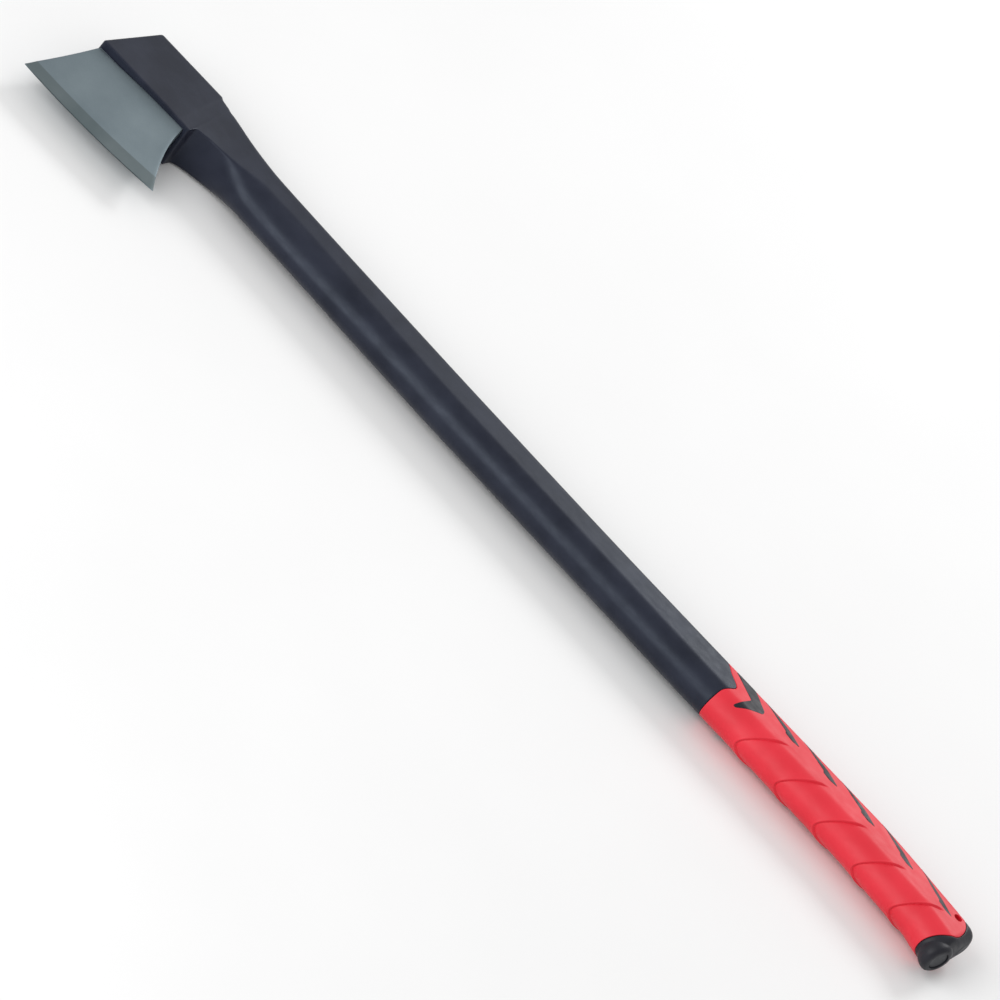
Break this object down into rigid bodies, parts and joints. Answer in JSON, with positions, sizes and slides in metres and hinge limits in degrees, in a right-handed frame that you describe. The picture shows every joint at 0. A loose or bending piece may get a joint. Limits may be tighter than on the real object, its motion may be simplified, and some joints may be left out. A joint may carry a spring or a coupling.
{
  "type": "fire axe",
  "caption": "Long-handled axe: forged wedge head clamped in a moulded nylon handle over a fibreglass core, with a red rubber grip, black inlays and a flared butt cap.",
  "frame": {"origin": "centre of the axe's outline in plan, on the level of the lowest line of its right cheek, which it lies on", "axes": "+X along the handle from the head towards the butt, +Y from the cutting edge towards the poll, +Z out of the left cheek"},
  "size_m": [0.8986, 0.1246, 0.0398],
  "materials": {
    "steel": "satin, greenish grey, ground bevel",
    "nylon": "fine-grained satin black with a blue cast",
    "red_rubber": "satin soft-touch",
    "black_rubber": "satin soft-touch",
    "fibreglass": "translucent resin, not seen"
  },
  "bodies": {
    "root": {"axe_head": "steel", "handle_body": "nylon", "core_rod": "fibreglass", "grip_sleeve": "red_rubber", "left_chevron": "black_rubber", "right_chevron": "black_rubber", "left_dart_1": "black_rubber", "right_dart_1": "black_rubber", "left_dart_2": "black_rubber", "right_dart_2": "black_rubber", "left_dart_3": "black_rubber", "right_dart_3": "black_rubber", "left_dart_4": "black_rubber", "right_dart_4": "black_rubber", "left_dart_5": "black_rubber", "right_dart_5": "black_rubber", "butt_cap": "black_rubber", "end_plug": "nylon"}
  },
  "joints": []
}
